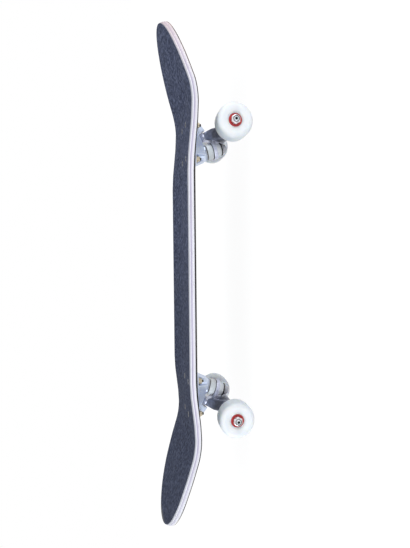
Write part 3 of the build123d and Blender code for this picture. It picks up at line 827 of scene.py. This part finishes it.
def add_axle(end):
    """Axle with its threaded, centre-drilled ends, the inner races on it and its two lock nuts."""
    body = f"{end}_truck"
    place = axis_place(middle(f"{end}_axle"), Vector((0, 1, 0)))
    reach, radius = extent(f"{end}_axle", place)[1:]
    races_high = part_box(f"{end}_bearing_inner_races")[1].y / MM
    nut_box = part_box(f"{end}_axle_nuts")
    flats = (nut_box[1].z - nut_box[0].z) / MM
    nuts_high = nut_box[1].y / MM
    nuts_low = nuts_high - AXLE_NUT_HEIGHT
    axle, steel, nylon, races = Form(), Form(), Form(), Form()
    for side in BOTH_SIDES:
        axle.turned([
            (0, radius),
            (nuts_low - AXLE_THREAD, radius),
            (nuts_low - AXLE_THREAD + 0.4, radius - THREAD_DEPTH),
            (reach - 0.5, radius - THREAD_DEPTH),
            (reach, radius - 0.8),
            (reach, CENTRE_HOLE + 0.1),
            (reach - 0.6, CENTRE_HOLE - 0.3),
            (reach - HOLE_DEPTH, CENTRE_HOLE - 0.4),
            (reach - HOLE_DEPTH - 0.7, 0),
        ], side, closed=False)
        lock_nut(steel, nylon, side @ HEXAGON_TURN, nuts_low, nuts_high, flats, radius)
        for outer_face in (races_high, races_high - BEARING_WIDTH - BEARING_GAP):
            inner_face = outer_face - BEARING_WIDTH
            races.turned(rounded([
                (inner_face, BORE_RADIUS, 0.3),
                (inner_face, INNER_RACE_RADIUS, 0.25),
                (outer_face, INNER_RACE_RADIUS, 0.25),
                (outer_face, BORE_RADIUS, 0.3),
            ]), side)
    axle.piece(f"{end}_axle_rod", "axle_steel", body, (f"{end}_axle",), place)
    steel.piece(f"{end}_axle_lock_nuts", "steel", body, (f"{end}_axle_nuts",), place)
    nylon.piece(f"{end}_axle_nut_rings", "nylon", body, (), place)
    races.piece(f"{end}_inner_races", "bearing_steel", body, (f"{end}_bearing_inner_races",), place)


# ---------------------------------------------------------------- kingpin stack
KINGPIN_RADIUS = 4.76
KINGPIN_HEAD = 5.5
KINGPIN_THREAD = 3.0  # how far the thread runs on under the nut
KINGPIN_PITCH = 1.0
ROOT_DEPTH = 0.4  # of the kingpin's thread, where the nut hides it
BUSHING_LIP = 2.4  # height of the lip that centres a bushing in the hanger's ring
BUSHING_LIP_RADIUS = 7.2
BUSHING_TIP_RADIUS = 9.5  # narrow end of the cone-shaped bushing


def add_kingpin_stack(end):
    """Kingpin, washers, bushings and lock nut, on the line through the two washers' middles."""
    start = middle(f"{end}_boardside_washer")
    place = axis_place(start, middle(f"{end}_roadside_washer") - start, Vector((0, 1, 0)))
    low, high, _ = extent(f"{end}_kingpin", place)
    nut_low, nut_high, corner = extent(f"{end}_kingpin_nut", place)
    flats = corner * math.sqrt(3)
    hexagon_turn = place @ HEXAGON_TURN

    pin = Form()
    pin.turned([
        (low, 0),
        (low, 0.44 * flats, flats),
        (low + 1.0, corner, flats),
        (low + KINGPIN_HEAD, corner, flats),
        (low + KINGPIN_HEAD, KINGPIN_RADIUS),
        (nut_low - KINGPIN_THREAD, KINGPIN_RADIUS),
        (nut_low - KINGPIN_THREAD + 0.4, KINGPIN_RADIUS - ROOT_DEPTH),
        (nut_high - 0.5, KINGPIN_RADIUS - ROOT_DEPTH),
    ], closed=False)
    pin.threaded(nut_high - 0.5, high, KINGPIN_RADIUS, KINGPIN_PITCH)
    pin.piece(f"{end}_kingpin_bolt", "kingpin_steel", "deck", (f"{end}_kingpin",), hexagon_turn)

    steel, nylon = Form(), Form()
    lock_nut(steel, nylon, Matrix(), nut_low, nut_high, flats, KINGPIN_RADIUS)
    nut = f"{end}_kingpin_nut"
    steel.piece(f"{end}_kingpin_lock_nut", "kingpin_steel", "deck", (nut,), hexagon_turn)
    nylon.piece(f"{end}_kingpin_nut_ring", "nylon", "deck", (), hexagon_turn)

    for side in ("boardside", "roadside"):
        node = f"{end}_{side}_washer"
        low, high, radius = extent(node, place)
        disc = Form()
        disc.turned(rounded([
            (low, KINGPIN_RADIUS + 0.02, 0.1),
            (high, KINGPIN_RADIUS + 0.02, 0.1),
            (high, radius, 0.5),
            (low, radius, 0.5),
        ]))
        disc.piece(node + "_disc", "washer_steel_painted_shade", "deck", (node,), place)
    add_barrel_bushing(f"{end}_boardside_bushing", place)
    add_cone_bushing(f"{end}_roadside_bushing", place)


def add_barrel_bushing(node, place):
    """Urethane ring above the hanger, with a centring lip at its lower end."""
    low, high, radius = extent(node, place)
    seat = high - BUSHING_LIP
    show_bushing(node, place, [
        (low, radius, 1.1),
        ((low + seat) / 2, radius, 0),
        (seat, radius, 1.1),
        (seat, BUSHING_LIP_RADIUS, 0),
        (high, BUSHING_LIP_RADIUS, 0.5),
        (high, KINGPIN_RADIUS, 0),
        (low, KINGPIN_RADIUS, 0),
    ])


def add_cone_bushing(node, place):
    """Urethane ring under the hanger, narrower at its washer, with a centring lip at its upper end."""
    low, high, radius = extent(node, place)
    seat = low + BUSHING_LIP
    show_bushing(node, place, [
        (seat, radius, 1.1),
        ((seat + high) / 2, (radius + BUSHING_TIP_RADIUS) / 2, 0),
        (high, BUSHING_TIP_RADIUS, 1.1),
        (high, KINGPIN_RADIUS, 0),
        (low, KINGPIN_RADIUS, 0),
        (low, BUSHING_LIP_RADIUS, 0.5),
        (seat, BUSHING_LIP_RADIUS, 0),
    ])


def show_bushing(node, place, corners):
    """Turn a bushing from its profile's corners, and let it stand for its node."""
    ring = Form()
    ring.turned(rounded(corners), steps=72)
    ring.piece(node + "_ring", "urethane_bushing", "deck", (node,), place, 40)


# ---------------------------------------------------------------- mounting hardware
BOLT_HEAD_RADIUS = 4.5
BOLT_RADIUS = 2.38
BOLT_THREAD = 9.0
BOLT_PITCH = 0.8
CONE_DEPTH = 2.6  # of the countersunk head
DRIVER_RADIUS = 3.0  # circle that the recess lies in
DRIVER_FLATS = 3.2
DRIVER_DEPTH = 1.6


def bolt_places(end):
    """Middles of the four bolts, from the corners of their common box."""
    low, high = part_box(f"{end}_mounting_bolts")
    head = BOLT_HEAD_RADIUS * MM
    for x in (low.x + head, high.x - head):
        for y in (low.y + head, high.y - head):
            yield Matrix.Translation((x, y, 0))


def add_mounting_hardware(end):
    """Countersunk socket bolts through the deck, and the lock nuts that hold the baseplate."""
    low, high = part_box(f"{end}_mounting_bolts")
    nut_low, nut_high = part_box(f"{end}_mounting_nuts")
    top, foot = high.z / MM, low.z / MM
    bolt_row = high.y - low.y - 2 * BOLT_HEAD_RADIUS * MM
    flats = (nut_high.y - nut_low.y - bolt_row) / MM
    bolts, nuts, nylon = Form(), Form(), Form()
    for place in bolt_places(end):
        bolts.turned([
            (top - DRIVER_DEPTH, 0),
            (top - DRIVER_DEPTH, DRIVER_RADIUS, DRIVER_FLATS),
            (top - 0.05, DRIVER_RADIUS, DRIVER_FLATS),
            (top, DRIVER_RADIUS, DRIVER_FLATS + 0.3),
            (top, BOLT_HEAD_RADIUS - 0.3),
            (top - 0.15, BOLT_HEAD_RADIUS - 0.05),
            (top - CONE_DEPTH, BOLT_RADIUS),
            (foot + BOLT_THREAD, BOLT_RADIUS),
            (foot + BOLT_THREAD - 0.2, BOLT_RADIUS - 0.28),
        ], place, closed=False)
        down = place @ Matrix.Scale(-1, 4, (0, 0, 1))
        bolts.threaded(-foot - BOLT_THREAD, -foot, BOLT_RADIUS, BOLT_PITCH, down)
        nut_ends = (-nut_high.z / MM, -nut_low.z / MM)
        lock_nut(nuts, nylon, down @ HEXAGON_TURN, *nut_ends, flats, BOLT_RADIUS)
    bolts.piece(f"{end}_mounting_screws", "black_steel", "deck", (f"{end}_mounting_bolts",), sharp=30)
    nuts.piece(f"{end}_mounting_lock_nuts", "fastener_nut", "deck", (f"{end}_mounting_nuts",))
    nylon.piece(f"{end}_mounting_nut_rings", "nylon", "deck")


# ---------------------------------------------------------------- castings
CASTING_GRAIN = 0.7  # finest detail that a casting keeps
CASTING_PASSES = 5


def add_casting(node, finish, body):
    """The CAD casting with its edges rounded over, as its mould and the tumbler leave them."""
    source = frame["nodes"][node]
    rough = bpy.data.objects.new(node + "_rough", source.data.copy())
    bpy.context.scene.collection.objects.link(rough)
    mesh = bmesh.new()
    mesh.from_mesh(rough.data)
    bmesh.ops.remove_doubles(mesh, verts=mesh.verts, dist=MM / 1000)
    mesh.to_mesh(rough.data)
    mesh.free()
    skin = rough.modifiers.new("skin", "REMESH")
    skin.mode = "VOXEL"
    skin.voxel_size = CASTING_GRAIN * MM
    soften = rough.modifiers.new("soften", "SMOOTH")
    soften.factor = 0.5
    soften.iterations = CASTING_PASSES
    shaped = rough.evaluated_get(bpy.context.evaluated_depsgraph_get())
    data = bpy.data.meshes.new_from_object(shaped)
    bpy.data.objects.remove(rough)
    show(data, node + "_casting", finish, body, (node,), Matrix(), 180)


# ---------------------------------------------------------------- the scene
add_camera()
add_world()
add_floor()
add_lamp("key", place=(-0.5, 1.3, 1.6), size=1.2, power=3, tint=(1.0, 0.985, 0.96))
add_lamp("fill", place=(0.2, 1.6, 0.12), size=0.9, power=3)
add_lamp("nose_side", place=(1.8, 0.85, 0.12), size=0.8, power=17, tint=(0.88, 0.94, 1.0))
add_lamp("tail_side", place=(-1.8, 0.85, 0.12), size=0.8, power=16, tint=(0.94, 0.97, 1.0))
dress_frame()
for end in ENDS:
    for hand in HANDS:
        add_wheel(end, hand)
    add_axle(end)
    add_kingpin_stack(end)
    add_mounting_hardware(end)
    add_casting(f"{end}_baseplate", "cast_aluminium", "deck")
    add_casting(f"{end}_hanger", f"hanger_{end}", f"{end}_truck")
